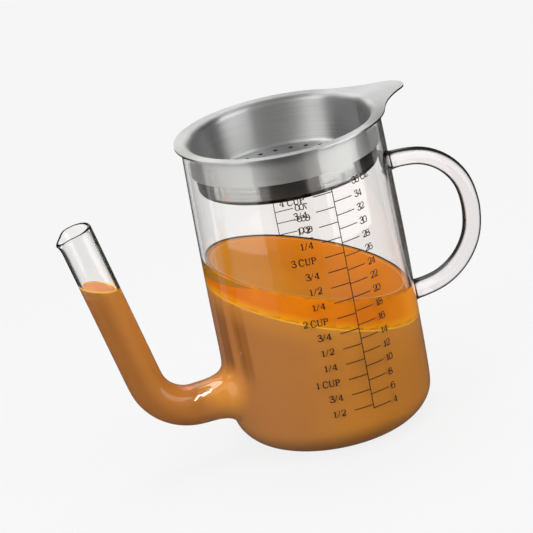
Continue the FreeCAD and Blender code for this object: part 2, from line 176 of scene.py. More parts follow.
def turned(bm, profile, steps):
    """A skin turned about the z axis from (radius, height) points."""
    verts = [bm.verts.new((r, 0, z)) for r, z in profile]
    edges = [bm.edges.new(pair) for pair in zip(verts, verts[1:])]
    bmesh.ops.spin(bm, geom=verts + edges, cent=(0, 0, 0), axis=UP, angle=2 * math.pi, steps=steps,
                   use_merge=True)
    bmesh.ops.remove_doubles(bm, verts=bm.verts, dist=0.001)


def open_wall(bm, centre, stretch):
    """Cut a patch of faces out of the turned wall and return the edges of the hole."""
    half_turn, low, high = stretch
    patch = []
    for face in bm.faces:
        middle = face.calc_center_median()
        turn = math.atan2(middle.y, middle.x * (1 if centre.x > 0 else -1))
        if abs(turn) < half_turn and low < middle.z < high:
            patch.append(face)
    edges = dict.fromkeys(e for f in patch for e in f.edges)
    rim = [e for e in edges if sum(g in patch for g in e.link_faces) == 1]
    bmesh.ops.delete(bm, geom=patch, context="FACES")
    return rim


def ring_place(point, centre, across):
    """Turn of a point about a ring's centre, measured from its across direction."""
    away = point - centre
    return math.atan2(away.dot(SIDE), away.dot(across))


def round_hole(edges, centre, across, radius, inset):
    """Draw a hole's corners in to a circle that lies on the wall."""
    verts = {v for e in edges for v in e.verts}
    step = 2 * math.pi / len(verts)
    sign = 1 if centre.x > 0 else -1
    for v in verts:
        turn = round(ring_place(v.co, centre, across) / step) * step
        y = radius * math.sin(turn)
        z = centre.z + across.z * radius * math.cos(turn)
        wall = (wall_radius(z) - inset) * smooth_share(COLUMNS)
        v.co = (sign * math.sqrt(wall ** 2 - y ** 2), y, z)


def drawn_out(bm, edges, centre, across, stations):
    """Draw an open loop out into a tube through (centre, across, radius) stations."""
    for next_centre, next_across, radius in stations:
        grown = bmesh.ops.extrude_edge_only(bm, edges=edges)["geom"]
        edges = [g for g in grown if isinstance(g, bmesh.types.BMEdge)]
        verts = {v for e in edges for v in e.verts}
        reach = radius * smooth_share(len(verts))
        for v in verts:
            turn = ring_place(v.co, centre, across)
            v.co = next_centre + (next_across * math.cos(turn) + SIDE * math.sin(turn)) * reach
        centre, across = next_centre, next_across
    return edges


def joined(bm, edges, others):
    """Close the gap between two loops that have as many points, each point to its nearest."""
    ends = list(dict.fromkeys(v for e in others for v in e.verts))

    def nearest(vert):
        return min(ends, key=lambda end: (end.co - vert.co).length)

    for edge in edges:
        first, second = edge.verts
        bm.faces.new((first, second, nearest(second), nearest(first)))


# ---------------------------------------------------------------- the jug's skins
SPOUT_ALONG = Vector((-math.sin(SPOUT_LEAN), 0, math.cos(SPOUT_LEAN)))
SPOUT_OUT = Vector((-math.cos(SPOUT_LEAN), 0, -math.sin(SPOUT_LEAN)))
ELBOW_CENTRE = Vector((-JUG_RADIUS - SPOUT_RUN, 0, SPOUT_HEIGHT + SPOUT_BEND))
SPOUT_FOOT = ELBOW_CENTRE + SPOUT_OUT * SPOUT_BEND
MOUTH = SPOUT_FOOT + SPOUT_ALONG * SPOUT_LEG


def spout_stations(inset, edge):
    """Rings along the spout, from the fillet at the wall to its mouth."""
    stations = []
    for off_wall, radius in ROOT_FILLET:
        stations.append((Vector((-JUG_RADIUS - off_wall, 0, SPOUT_HEIGHT)), -UP, radius - inset))
    step = (math.pi / 2 - SPOUT_LEAN) / ELBOW_STEPS
    for i in range(ELBOW_STEPS + 1):
        out = Vector((-math.sin(step * i), 0, -math.cos(step * i)))
        radius = ELBOW_RADIUS + (SPOUT_RADIUS - ELBOW_RADIUS) * i / ELBOW_STEPS
        bend = SPOUT_BEND * (smooth_share(2 * math.pi / step) if i % ELBOW_STEPS else 1)
        stations.append((ELBOW_CENTRE + out * bend, out, radius - inset))
    for up in LEG_RINGS:
        stations.append((SPOUT_FOOT + SPOUT_ALONG * up, SPOUT_OUT, SPOUT_RADIUS - inset))
    stations.append((MOUTH, SPOUT_OUT, SPOUT_RADIUS - inset + edge))
    return stations


def handle_stations():
    """Rings along the handle rod, from its upper pad round to its lower one."""
    stations = []
    for off_wall, radius in TOP_PAD:
        stations.append((Vector((wall_radius(HANDLE_TOP) + off_wall, 0, HANDLE_TOP)), UP, radius))
    step = math.pi / 2 / BEND_STEPS
    for middle, first in ((HANDLE_TOP - HANDLE_BEND, 0), (HANDLE_LOW + HANDLE_BEND, BEND_STEPS)):
        for i in range(first, first + BEND_STEPS + 1):
            out = Vector((math.sin(step * i), 0, math.cos(step * i)))
            centre = Vector((HANDLE_REACH - HANDLE_BEND, 0, middle))
            bend = HANDLE_BEND * (smooth_share(2 * math.pi / step) if i % BEND_STEPS else 1)
            stations.append((centre + out * bend, out, ROD_RADIUS + ROD_GROWTH * i))
    for off_wall, radius in LOW_PAD:
        stations.append((Vector((wall_radius(HANDLE_LOW) + off_wall, 0, HANDLE_LOW)), -UP, radius))
    return stations


def jug_skin(inset, spout_inset, edge, with_handle):
    """The jug's outside, or its inside at an inset. The last rings lean by edge into the wall."""
    bm = bmesh.new()
    corner_middle = wall_radius(CORNER) - CORNER
    corner_step = math.pi / 2 / CORNER_STEPS
    reach = (CORNER - inset) * smooth_share(2 * math.pi / corner_step)
    profile = [(r, inset) for r in BASE_RINGS]
    for i in range(CORNER_STEPS):
        turn = corner_step * i
        profile.append((corner_middle + reach * math.sin(turn), max(CORNER - reach * math.cos(turn), inset)))
    for z in WALL_RINGS:
        profile.append((wall_radius(z) - inset, z))
    profile.append((wall_radius(JUG_HEIGHT) - inset + edge, JUG_HEIGHT + RIM_LIFT))
    turned(bm, [(r * smooth_share(COLUMNS), z) for r, z in profile], COLUMNS)

    root = Vector((-JUG_RADIUS, 0, SPOUT_HEIGHT))
    hole = open_wall(bm, root, SPOUT_PATCH)
    round_hole(hole, root, -UP, SPOUT_HOLE - HOLE_NARROWS * inset, inset)
    drawn_out(bm, hole, root, -UP, spout_stations(spout_inset, edge))

    if with_handle:
        top = Vector((JUG_RADIUS, 0, HANDLE_TOP))
        low = Vector((JUG_RADIUS, 0, HANDLE_LOW))
        top_hole = open_wall(bm, top, TOP_PATCH)
        low_hole = open_wall(bm, low, LOW_PATCH)
        round_hole(top_hole, top, UP, TOP_HOLE, inset)
        round_hole(low_hole, low, -UP, LOW_HOLE, inset)
        handle_end = drawn_out(bm, top_hole, top, UP, handle_stations())
        joined(bm, handle_end, low_hole)
    return bm


def rim_edges(bm):
    """The open loops at the jug's rim."""
    return [e for e in bm.edges if e.is_boundary and e.verts[0].co.z > JUG_HEIGHT - 1]


def mouth_edges(bm):
    """The open loops at the spout's mouth."""
    return [e for e in bm.edges if e.is_boundary and e.verts[0].co.x < MOUTH_LEFT_OF]


def lip_pulled(bm):
    """Pull the spout's mouth out to a point on its far side and lower it there."""
    for v in bm.verts:
        away = v.co - MOUTH
        share = 1 + away.dot(SPOUT_ALONG) / LIP_LENGTH
        if v.co.x > MOUTH_LEFT_OF or share <= 0:
            continue
        across = away.dot(SPOUT_OUT)
        turn = abs(math.atan2(away.dot(SIDE), across))
        pull = 0.5 + 0.5 * math.cos(min(turn / LIP_SPREAD, 1) * math.pi)
        drop = min(max(across - DROP_START, 0) / DROP_RUN, DROP_END)
        pulled = SPOUT_OUT * (LIP_REACH * pull * share ** 1.5)
        dropped = SPOUT_ALONG * (LIP_DROP * drop ** 1.3 * share ** 2)
        v.co += pulled - dropped


def glass_jug():
    """Wall, spout and handle as one fused skin, closed over its rim and its mouth."""
    skin = jug_skin(0, 0, -RIM_ROUND, True)
    inside = jug_skin(JUG_WALL, SPOUT_WALL, RIM_ROUND, False)
    for face in inside.faces:
        face.material_index = INNER_GLASS
    copy = bpy.data.meshes.new("inside")
    inside.to_mesh(copy)
    inside.free()
    skin.from_mesh(copy)
    bpy.data.meshes.remove(copy)
    for edges in (rim_edges(skin), mouth_edges(skin)):
        inner = [e for e in edges if e.link_faces[0].material_index == INNER_GLASS]
        joined(skin, [e for e in edges if e not in inner], inner)
    faced_outward(skin)
    skin = subdivided(skin, 1, last=False)
    lip_pulled(skin)
    skin = subdivided(skin, 1)
    for face in skin.faces:
        middle = face.calc_center_median()
        beyond = abs(middle.x) - math.sqrt(max(wall_radius(middle.z) ** 2 - middle.y ** 2, 0))
        if beyond > CLEAR_OF_WALL and face.material_index != INNER_GLASS:
            face.material_index = TUBE_GLASS if middle.x < 0 else ROD_GLASS
    return skin


# ---------------------------------------------------------------- gravy and fat
def level(height, slope_x, slope_y):
    """A point and an upward normal of a liquid's surface in the tilted jug."""
    return Vector((0, 0, height)), Vector((-slope_x, -slope_y, 1)).normalized()


FAT_TOP = level(83.7, -0.3295, 0.0598)
FAT_FOOT = level(68.7, -0.3697, 0.0722)
SPOUT_TOP = level(104.1 - 0.304 * 104.1, -0.304, 0.0598)
# how far each liquid reaches into the glass, and how far the fat reaches into the gravy
GRAVY_WETS = 0.08
FAT_WETS = 0.05
FAT_OVERLAP = 0.25
# a meniscus in four steps, each as shares of its reach inward and of its rise
MENISCUS_STEPS = ((0.12, 0.4), (0.2, 0.3), (0.3, 0.2), (0.38, 0.1))


def kept_between(bm, faces, surface, below):
    """Cut faces of a skin at a surface, keep one side and cap the cut."""
    verts = list(dict.fromkeys(v for f in faces for v in f.verts))
    edges = list(dict.fromkeys(e for f in faces for e in f.edges))
    point, normal = surface
    cut = bmesh.ops.bisect_plane(bm, geom=verts + edges + faces, dist=0.0001, plane_co=point,
                                 plane_no=normal, clear_outer=below, clear_inner=not below)
    loop = [g for g in cut["geom_cut"] if isinstance(g, bmesh.types.BMEdge)]
    return bmesh.ops.contextual_create(bm, geom=loop)["faces"][0]


def in_spout(face):
    """Whether a face belongs to the spout's straight leg."""
    middle = face.calc_center_median()
    return middle.x < LEG_LEFT_OF and middle.z > LEG_ABOVE


def meniscus(bm, cap, reach, rise, normal):
    """Let a liquid's surface climb a little where it meets the glass."""
    for share_in, share_down in MENISCUS_STEPS:
        grown = bmesh.ops.extrude_face_region(bm, geom=[cap])["geom"]
        bmesh.ops.delete(bm, geom=[cap], context="FACES_ONLY")
        cap = [g for g in grown if isinstance(g, bmesh.types.BMFace)][0]
        centre = cap.calc_center_median()
        for v in cap.verts:
            away = v.co - centre
            v.co = centre + away * (1 - share_in * reach / away.length) - normal * (share_down * rise)


def gravy():
    """The gravy in the jug and up the spout, a hair into the glass that it wets."""
    bm = subdivided(jug_skin(JUG_WALL - GRAVY_WETS, SPOUT_WALL - GRAVY_WETS, 0, False), 2)
    kept_between(bm, [f for f in bm.faces if not in_spout(f)], FAT_FOOT, True)
    spout_cap = kept_between(bm, [f for f in bm.faces if in_spout(f)], SPOUT_TOP, True)
    meniscus(bm, spout_cap, reach=1.6, rise=0.5, normal=SPOUT_TOP[1])
    faced_outward(bm)
    return bm


def fat():
    """The layer of clear fat that floats on the gravy."""
    bm = subdivided(jug_skin(JUG_WALL - FAT_WETS, SPOUT_WALL - FAT_WETS, 0, False), 2)
    spout = [f for f in bm.faces if f.calc_center_median().x < -JUG_RADIUS + 0.3]
    bmesh.ops.delete(bm, geom=spout, context="FACES")
    point, normal = FAT_FOOT
    kept_between(bm, list(bm.faces), (point - UP * FAT_OVERLAP, normal), False)
    cap = kept_between(bm, list(bm.faces), FAT_TOP, True)
    meniscus(bm, cap, reach=2.2, rise=0.8, normal=FAT_TOP[1])
    faced_outward(bm)
    return bm


# ---------------------------------------------------------------- printed numbers
# Each sign has its width and its strokes, in shares of its height. A stroke is a smooth curve
# through (across, up, thickness) points. The signs are printed wider than drawn, by SIGN_SPREAD.
HAIR = 0.8
THIN = 0.9
THICK = 1.4
WIDE = 1.5
SIGNS = {
    "0": (0.58, [[(0.29, 0.97, THIN), (0.02, 0.97, THICK), (0.02, 0.03, THICK), (0.29, 0.03, THIN),
                  (0.56, 0.03, THICK), (0.56, 0.97, THICK), (0.29, 0.97, THIN)]]),
    "1": (0.46, [[(0.25, 0.03, THICK), (0.25, 0.5, THICK), (0.25, 0.97, THICK)],
                 [(0.08, 0.82, THIN), (0.15, 0.85, THIN), (0.25, 0.96, THIN)],
                 [(0.08, 0.03, THIN), (0.25, 0.03, THIN), (0.42, 0.03, THIN)]]),
    "2": (0.58, [[(0.1, 0.7, THICK), (0.08, 0.98, THIN), (0.5, 1.06, THIN), (0.56, 0.68, WIDE),
                  (0.42, 0.42, THICK), (0.12, 0.22, THIN), (0.08, 0.05, THIN)],
                 [(0.08, 0.06, THICK), (0.3, 0.08, THICK), (0.5, 0.03, THICK), (0.55, 0.24, THIN)]]),
    "3": (0.56, [[(0.09, 0.8, THICK), (0.14, 1.02, THIN), (0.52, 1.02, THICK), (0.5, 0.58, THICK),
                  (0.2, 0.54, THIN)],
                 [(0.2, 0.54, THIN), (0.56, 0.56, THICK), (0.6, 0.02, WIDE), (0.14, -0.05, THIN),
                  (0.06, 0.24, THICK)]]),
    "4": (0.6, [[(0.42, 0.97, THIN), (0.22, 0.62, THIN), (0.04, 0.28, THIN)],
                [(0.04, 0.28, THIN), (0.3, 0.28, THIN), (0.58, 0.28, THIN)],
                [(0.43, 0.97, THICK), (0.43, 0.5, THICK), (0.43, 0.03, THICK)],
                [(0.28, 0.03, THIN), (0.43, 0.03, THIN), (0.58, 0.03, THIN)]]),
    "5": (0.56, [[(0.5, 0.93, THICK), (0.3, 0.93, THICK), (0.14, 0.95, THIN), (0.12, 0.75, THIN),
                  (0.11, 0.52, THIN)],
                 [(0.11, 0.52, THIN), (0.3, 0.68, THIN), (0.58, 0.6, THICK), (0.58, 0.08, WIDE),
                  (0.2, -0.04, THIN), (0.06, 0.2, THICK)]]),
    "6": (0.58, [[(0.5, 0.86, THICK), (0.4, 1.02, THIN), (0.04, 0.9, THICK), (0.02, 0.1, WIDE),
                  (0.29, -0.02, THIN), (0.58, 0.02, THICK), (0.58, 0.58, THICK), (0.28, 0.6, THIN),
                  (0.1, 0.5, THIN), (0.09, 0.3, THIN)]]),
    "7": (0.56, [[(0.07, 0.76, THIN), (0.09, 0.96, THICK), (0.3, 0.92, THICK), (0.54, 0.96, THIN)],
                 [(0.54, 0.96, THIN), (0.3, 0.5, THICK), (0.22, 0.04, WIDE)]]),
    "8": (0.58, [[(0.29, 0.97, THIN), (0.06, 0.97, THICK), (0.06, 0.62, THICK), (0.29, 0.53, THICK),
                  (0.6, 0.44, THICK), (0.58, 0.03, THICK), (0.29, 0.03, THIN), (0.0, 0.03, THICK),
                  (0.0, 0.44, THICK), (0.29, 0.53, THIN), (0.52, 0.62, THIN), (0.52, 0.97, THIN),
                  (0.29, 0.97, THIN)]]),
    "9": (0.58, [[(0.08, 0.14, THICK), (0.18, -0.02, THIN), (0.54, 0.1, THICK), (0.56, 0.9, WIDE),
                  (0.29, 1.02, THIN), (0.0, 0.98, THICK), (0.0, 0.42, THICK), (0.3, 0.4, THIN),
                  (0.48, 0.5, THIN), (0.49, 0.7, THIN)]]),
    "/": (0.56, [[(0.1, -0.05, HAIR), (0.26, 0.45, HAIR), (0.44, 1.02, HAIR)]]),
    "C": (0.72, [[(0.62, 0.74, THICK), (0.56, 1.02, THIN), (0.04, 1.06, THICK), (0.04, -0.06, THICK),
                  (0.56, -0.02, THIN), (0.64, 0.26, THIN)]]),
    "U": (0.78, [[(0.16, 0.97, THICK), (0.16, 0.6, THICK), (0.14, -0.02, THICK), (0.4, 0.02, THIN),
                  (0.64, -0.02, THIN), (0.62, 0.6, THIN), (0.62, 0.97, THIN)],
                 [(0.03, 0.97, THIN), (0.16, 0.97, THIN), (0.29, 0.97, THIN)],
                 [(0.51, 0.97, THIN), (0.62, 0.97, THIN), (0.73, 0.97, THIN)]]),
    "P": (0.66, [[(0.18, 0.97, THICK), (0.18, 0.5, THICK), (0.18, 0.03, THICK)],
                 [(0.18, 0.96, THIN), (0.6, 0.98, THICK), (0.62, 0.44, THICK), (0.18, 0.47, THIN)],
                 [(0.04, 0.97, THIN), (0.12, 0.97, THIN), (0.2, 0.97, THIN)],
                 [(0.04, 0.03, THIN), (0.18, 0.03, THIN), (0.33, 0.03, THIN)]]),
    "O": (0.78, [[(0.38, 0.97, THIN), (0.03, 0.97, THICK), (0.03, 0.03, THICK), (0.38, 0.03, THIN),
                  (0.73, 0.03, THICK), (0.73, 0.97, THICK), (0.38, 0.97, THIN)]]),
    "Z": (0.66, [[(0.08, 0.76, THIN), (0.09, 0.96, THIN), (0.3, 0.96, THIN), (0.56, 0.96, THIN)],
                 [(0.56, 0.96, THICK), (0.3, 0.5, THICK), (0.06, 0.04, THICK)],
                 [(0.06, 0.04, THIN), (0.4, 0.04, THIN), (0.58, 0.04, THIN), (0.6, 0.26, THIN)]]),
    " ": (0.4, []),
}
SIGN_HEIGHT = 3.2
SIGN_SPREAD = 1.22
STROKE = 0.42


def word_width(word):
    """Printed width of a word, mm."""
    return SIGN_HEIGHT * SIGN_SPREAD * sum(SIGNS[sign][0] for sign in word)


def word_strokes(curve, word, across, up):
    """Add a word's strokes, with its lower left corner at (across, up) mm."""
    for sign in word:
        width, strokes = SIGNS[sign]
        for stroke in strokes:
            spline = curve.splines.new("NURBS")
            spline.points.add(len(stroke) - 1)
            for point, (x, y, thick) in zip(spline.points, stroke):
                point.co = (across + x * SIGN_HEIGHT * SIGN_SPREAD, up + y * SIGN_HEIGHT, 0, 1)
                point.radius = thick
            spline.order_u = 3
            spline.use_endpoint_u = True
            spline.resolution_u = 3
        across += width * SIGN_HEIGHT * SIGN_SPREAD


def print_words(words, line_turn):
    """Words as raised enamel, wrapped round the wall. Each is (text, across, up), measured
    from the scale's upright line, which stands line_turn degrees round from the front."""
    curve = bpy.data.curves.new("strokes", "CURVE")
    curve.dimensions = "3D"
    curve.bevel_depth = STROKE / 2
    curve.bevel_resolution = 0
    curve.use_fill_caps = True
    for word, across, up in words:
        word_strokes(curve, word, across, up)
    drawing = bpy.data.objects.new("strokes", curve)
    bpy.context.collection.objects.link(drawing)
    bpy.context.view_layer.update()
    mesh = bpy.data.meshes.new_from_object(drawing.evaluated_get(bpy.context.evaluated_depsgraph_get()))
    bm = bmesh.new()
    bm.from_mesh(mesh)
    bpy.data.objects.remove(drawing)
    bpy.data.curves.remove(curve)
    bpy.data.meshes.remove(mesh)
    bmesh.ops.remove_doubles(bm, verts=bm.verts, dist=0.001)
    bmesh.ops.holes_fill(bm, edges=[e for e in bm.edges if e.is_boundary], sides=8)
    for v in bm.verts:
        across, up, raised = v.co
        turn = math.radians(line_turn - 90) + across / JUG_RADIUS
        reach = wall_radius(up) + INK + raised * INK_FLATNESS
        v.co = (reach * math.cos(turn), reach * math.sin(turn), up)
    bmesh.ops.recalc_face_normals(bm, faces=bm.faces)
    return bm


# how far the middle of the enamel stands off the wall, and the share that round strokes keep of
# their thickness when they are flattened
INK = 0.06
INK_FLATNESS = 0.25
# the scales' ticks, mm, and where their upright lines stand, in degrees round from the front
TICK = 9.8
FRONT_LINE = 6.5
BACK_LINE = 177.1
# height of a scale's top tick, the step down to the next, and how much the steps grow, mm
CUP_SCALE = (134.76, 7.61, 0.0227)
OUNCE_SCALE = (136.32, 6.80, 0.0221)
MILLILITRE_SCALE = (134.76, 6.09, 0.0145)
CUPS = [word for cup in (4, 3, 2, 1) for word in ("%d CUP" % cup, "3/4", "1/2", "1/4")][:-1]
OUNCES = ["36 OZ"] + [str(ounces) for ounces in range(34, 2, -2)]
MILLILITRES = [str(millilitres) for millilitres in range(1000, 50, -50)]


def word_foot(scale, k):
    """Height of the foot of a word that is centred on tick k of a scale."""
    top, step, growth = scale
    return top - step * k - growth * k * k - SIGN_HEIGHT / 2


def words_on_left(words, scale, gap):
    """Words that end at a gap to the left of a scale's ticks."""
    return [(word, -TICK - gap - word_width(word), word_foot(scale, k)) for k, word in enumerate(words)]


def words_on_right(words, scale, gap):
    """Words that start at a gap to the right of a scale's ticks."""
    return [(word, TICK + gap, word_foot(scale, k)) for k, word in enumerate(words)]


# ---------------------------------------------------------------- material helpers
def linear(colour):
    """An sRGB hex colour as linear red, green, blue and alpha."""
    values = []
    for i in (1, 3, 5):
        c = int(colour[i:i + 2], 16) / 255
        values.append(c / 12.92 if c <= 0.04045 else ((c + 0.055) / 1.055) ** 2.4)
    return (*values, 1)


def add(tree, kind, inputs=None, **settings):
    """Add a node with its settings. Its inputs are values, or sockets and nodes to link from."""
    node = tree.nodes.new("ShaderNode" + kind)
    for name, value in settings.items():
        setattr(node, name, value)
    for key, value in (inputs or {}).items():
        socket = node.inputs[key] if isinstance(key, int) else next(
            s for s in node.inputs if s.enabled and s.name == key)
        if isinstance(value, bpy.types.Node):
            value = next(s for s in value.outputs if s.enabled)
        if isinstance(value, bpy.types.NodeSocket):
            tree.links.new(value, socket)
        else:
            socket.default_value = value
    return node


RGB = {"data_type": "RGBA"}
SMOOTH = {"interpolation_type": "SMOOTHSTEP"}
TIMES = {"operation": "MULTIPLY"}
# directions of the sides where the glass's painted dark edge line is wider, and where the spout's gravy has
# painted light
RIGHT_SIDE = (0.97, -0.25, 0)
UPPER_LEFT = (-0.5, 0, 0.87)


def new_material(name):
    """A material without nodes, and its tree."""
    material = bpy.data.materials.new(name)
    material.use_nodes = True
    material.node_tree.nodes.clear()
    return material, material.node_tree


def height_above(tree, place, surface):
    """Distance of a place above a liquid's surface, in metres."""
    point, normal = surface
    along = add(tree, "VectorMath", {0: place, 1: normal}, operation="DOT_PRODUCT")
    return add(tree, "Math", {0: along, 1: point.dot(normal) * MM}, operation="SUBTRACT")


def let_lamps_through(tree, shader):
    """Mix in a clear shader for the rays that look for lamps, so glass casts no black shadow."""
    path = add(tree, "LightPath")
    clear = add(tree, "BsdfTransparent", {"Color": (0.95, 0.95, 0.95, 1)})
    return add(tree, "MixShader", {0: path.outputs["Is Shadow Ray"], 1: shader, 2: clear})


# ---------------------------------------------------------------- glass
def clear_glass(name, tone, line, colour, painted_shade_side, shade, liquid=None):
    """Borosilicate glass, blown or drawn: bright and clean seen square on, with a painted dark line along its
    edges in its colour, which stands in for the shade that a bent wall gathers there, and a faint ripple of
    the blowing. The painted line starts and is full where the surface faces away by the two shares, and the
    painted shade widens it by the shade share on the side turned toward the shade side. A wall with liquid
    behind it has no line: the liquid fills it to its edge."""
    material, tree = new_material(name)
    place = add(tree, "TexCoord").outputs["Object"]
    ripple = add(tree, "TexNoise", {"Vector": place, "Scale": 1 / (22 * MM), "Detail": 1.0, "Roughness": 0.4})
    bump = add(tree, "Bump", {"Height": ripple, "Strength": 0.12, "Distance": 0.4 * MM})
    # painted shade: the base colour darkens to a line along the edges, wider on the shade side
    facing = add(tree, "LayerWeight", {"Blend": 0.5}).outputs["Facing"]
    normal = add(tree, "NewGeometry").outputs["Normal"]
    turned_to = add(tree, "VectorMath", {0: normal, 1: painted_shade_side}, operation="DOT_PRODUCT")
    painted_side_shade = add(tree, "MapRange", {"Value": turned_to, "From Min": -0.3, "From Max": 0.6, "To Max": shade})
    painted_shade_reach = add(tree, "Math", {0: facing, 1: painted_side_shade}, operation="ADD")
    edge = add(tree, "MapRange", {"Value": painted_shade_reach, "From Min": line[0], "From Max": line[1]}, **SMOOTH)
    if liquid:
        above = height_above(tree, place, liquid)
        dry = add(tree, "MapRange", {"Value": above, "From Min": -0.6 * MM, "From Max": 0.6 * MM}, **SMOOTH)
        edge = add(tree, "Math", {0: edge, 1: dry}, **TIMES)
    painted_edge_tint = add(tree, "Mix", {"Factor": edge, "A": linear(tone), "B": linear(colour)}, **RGB)
    shader = add(tree, "BsdfPrincipled", {
        "Base Color": painted_edge_tint, "Roughness": 0.0, "IOR": 1.474, "Transmission Weight": 1.0, "Normal": bump})
    add(tree, "OutputMaterial", {"Surface": let_lamps_through(tree, shader)})
    return material


def inner_glass():
    """The same glass on the inner skin, with no painted edge line of its own."""
    material, tree = new_material("inner_borosilicate_glass")
    shader = add(tree, "BsdfPrincipled", {
        "Base Color": linear("#FEFDFC"), "Roughness": 0.0, "IOR": 1.474, "Transmission Weight": 1.0})
    add(tree, "OutputMaterial", {"Surface": let_lamps_through(tree, shader)})
    return material


# ---------------------------------------------------------------- gravy
# degrees from the spout toward the front, half width in degrees, and depth of tone
RUNS = ((8, 7, 0.8), (24.5, 6.5, 0.75), (-14, 7, 0.5))
# middle of the painted highlight at the spout's root, metres
PAINTED_ROOT_HIGHLIGHT = (-56 * MM, -9 * MM, 36 * MM)


def dark_runs(tree, place):
    """How dark the broad runs down the wall beside the spout are, with finer streaks in them.
    They start where the wall rises clear of the spout's root."""
    x, y, z = add(tree, "SeparateXYZ", {0: place}).outputs
    drawn = add(tree, "VectorMath", {0: place, 1: (1 / (4 * MM), 1 / (4 * MM), 1 / (120 * MM))}, **TIMES)
    streak = add(tree, "TexNoise", {"Vector": drawn, "Scale": 1.0, "Detail": 1.5, "Roughness": 0.5})
    fine = add(tree, "MapRange", {
        "Value": streak, "From Min": 0.42, "From Max": 0.58, "To Min": 0.7}, **SMOOTH)
    toward_front = add(tree, "Math", {0: y, 1: -1.0}, **TIMES)
    toward_spout = add(tree, "Math", {0: x, 1: -1.0}, **TIMES)
    around = add(tree, "Math", {0: toward_front, 1: toward_spout}, operation="ARCTAN2")
    runs = 0.0
    for turn, half_width, depth in RUNS:
        apart = add(tree, "Math", {0: around, 1: math.radians(turn)}, operation="SUBTRACT")
        off = add(tree, "Math", {0: apart}, operation="ABSOLUTE")
        run = add(tree, "MapRange", {
            "Value": off, "From Min": math.radians(half_width), "From Max": math.radians(half_width / 2),
            "To Max": depth}, **SMOOTH)
        runs = add(tree, "Math", {0: run, 1: runs}, operation="ADD")
    raised = add(tree, "MapRange", {"Value": z, "From Min": 35 * MM, "From Max": 52 * MM}, **SMOOTH)
    drained = add(tree, "Math", {0: runs, 1: raised}, **TIMES)
    return add(tree, "Math", {0: drained, 1: fine}, **TIMES)


def jug_gravy(tree, place, cloud):
    """Colour of the gravy in the jug, with its clouds and runs and the change of tone on its way up: dark in
    the round foot, and lighter where fat still rises through it under the layer. A painted highlight lies
    where the spout's root flares out."""
    x, y, z = add(tree, "SeparateXYZ", {0: place}).outputs
    left = add(tree, "MapRange", {"Value": x, "From Min": 8 * MM, "From Max": -42 * MM}, **SMOOTH)
    half = add(tree, "Math", {0: cloud, 1: 0.5}, **TIMES)
    body = add(tree, "Mix", {"Factor": left, "A": linear("#D08A2C"), "B": linear("#B97E44")}, **RGB)
    clouded = add(tree, "Mix", {"Factor": half, "A": body, "B": linear("#A9682B")}, **RGB)
    streaked = add(tree, "Mix", {
        "Factor": dark_runs(tree, place), "A": clouded, "B": linear("#7E4A1C")}, **RGB)
    over_foot = height_above(tree, place, FAT_FOOT)
    below_fat = add(tree, "MapRange", {
        "Value": over_foot, "From Min": -15 * MM, "From Max": -1 * MM, "To Max": 0.6}, **SMOOTH)
    lightened = add(tree, "Mix", {"Factor": below_fat, "A": streaked, "B": linear("#D08E38")}, **RGB)
    low = add(tree, "MapRange", {
        "Value": z, "From Min": 16 * MM, "From Max": 1 * MM, "To Max": 0.7}, **SMOOTH)
    footed = add(tree, "Mix", {"Factor": low, "A": lightened, "B": linear("#6C3E19")}, **RGB)

    # painted highlight: a lighter colour where the spout's root flares out of the wall
    off_root = add(tree, "VectorMath", {0: place, 1: PAINTED_ROOT_HIGHLIGHT}, operation="DISTANCE")
    painted_root_highlight = add(tree, "MapRange", {
        "Value": off_root, "From Min": 17 * MM, "From Max": 4 * MM, "To Max": 0.7}, **SMOOTH)
    return add(tree, "Mix", {"Factor": painted_root_highlight, "A": footed, "B": linear("#EAA240")}, **RGB)


def spout_gravy(tree, normal):
    """Colour of the gravy up the spout, with painted light on its right side: paler where it faces right."""
    rightward = add(tree, "VectorMath", {0: normal, 1: RIGHT_SIDE}, operation="DOT_PRODUCT")
    # painted light: the side that faces right is paler
    painted_light_side = add(tree, "MapRange", {"Value": rightward, "From Min": -0.3, "From Max": 0.9}, **SMOOTH)
    return add(tree, "Mix", {"Factor": painted_light_side, "A": linear("#A4672C"), "B": linear("#CF883A")}, **RGB)


def ringed_gravy(tree, place, normal, x, in_leg, colour):
    """The gravy's colour with bright rings of fat under the fat layer and at the top of the spout,
    and the level surface in the spout."""
    over_foot = height_above(tree, place, FAT_FOOT)
    under_fat = add(tree, "MapRange", {
        "Value": over_foot, "From Min": -1.1 * MM, "From Max": -0.5 * MM}, **SMOOTH)
    in_jug = add(tree, "MapRange", {"Value": x, "From Min": -60 * MM, "From Max": -55 * MM}, **SMOOTH)
    line = add(tree, "Math", {0: under_fat, 1: in_jug}, **TIMES)
    lined = add(tree, "Mix", {"Factor": line, "A": colour, "B": linear("#F2B437")}, **RGB)
    over_top = height_above(tree, place, SPOUT_TOP)
    under_air = add(tree, "MapRange", {
        "Value": over_top, "From Min": -1.3 * MM, "From Max": -0.6 * MM}, **SMOOTH)
    ring = add(tree, "Math", {0: under_air, 1: in_leg}, **TIMES)
    ringed = add(tree, "Mix", {"Factor": ring, "A": lined, "B": linear("#F7C25E")}, **RGB)
    upward = add(tree, "VectorMath", {0: normal, 1: (0.29, -0.06, 0.955)}, operation="DOT_PRODUCT")
    flat = add(tree, "MapRange", {"Value": upward, "From Min": 0.93, "From Max": 0.985}, **SMOOTH)
    level_top = add(tree, "Math", {0: flat, 1: in_leg}, **TIMES)
    return add(tree, "Mix", {"Factor": level_top, "A": ringed, "B": linear("#D68C58")}, **RGB)


